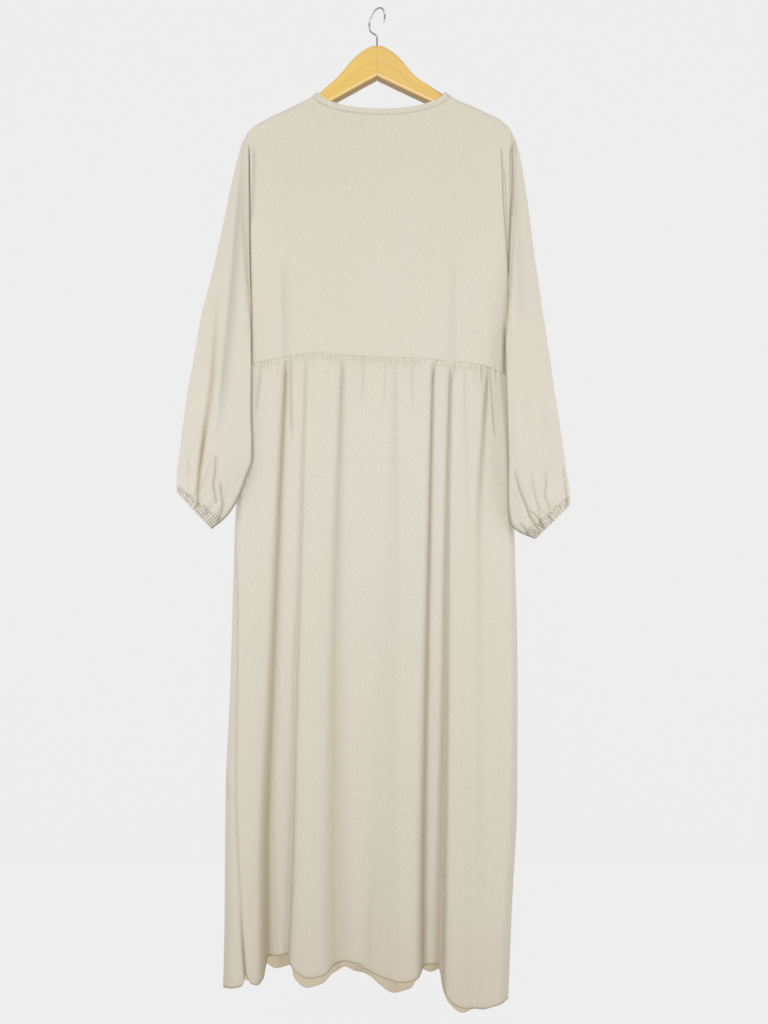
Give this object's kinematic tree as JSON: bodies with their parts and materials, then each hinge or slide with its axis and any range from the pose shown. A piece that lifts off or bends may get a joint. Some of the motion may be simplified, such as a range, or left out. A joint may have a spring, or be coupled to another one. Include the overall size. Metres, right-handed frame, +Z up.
{
  "type": "abaya on a wooden hanger",
  "caption": "Long plain abaya with full gathered-wrist sleeves, a high gathered waist seam and a flared skirt, hung on a wooden hanger by its wire hook.",
  "frame": {"origin": "inside top of the hook, where it rests on a rail", "axes": "+Z up, -Y towards the side that is seen, +X to the right of that view"},
  "size_m": [0.6354, 0.1061, 1.6791],
  "materials": {
    "crepe": "matt pale beige crepe",
    "varnished_wood": "clear satin varnish on yellow wood",
    "bright_wire": "bright plated wire"
  },
  "bodies": {
    "root": {"bodice_back": "crepe", "bodice_front": "crepe", "skirt_back": "crepe", "skirt_front": "crepe", "sleeve_left": "crepe", "sleeve_right": "crepe", "neck_binding": "crepe", "hanger_left": "varnished_wood", "hanger_right": "varnished_wood", "hanger_hook": "bright_wire"}
  },
  "joints": []
}
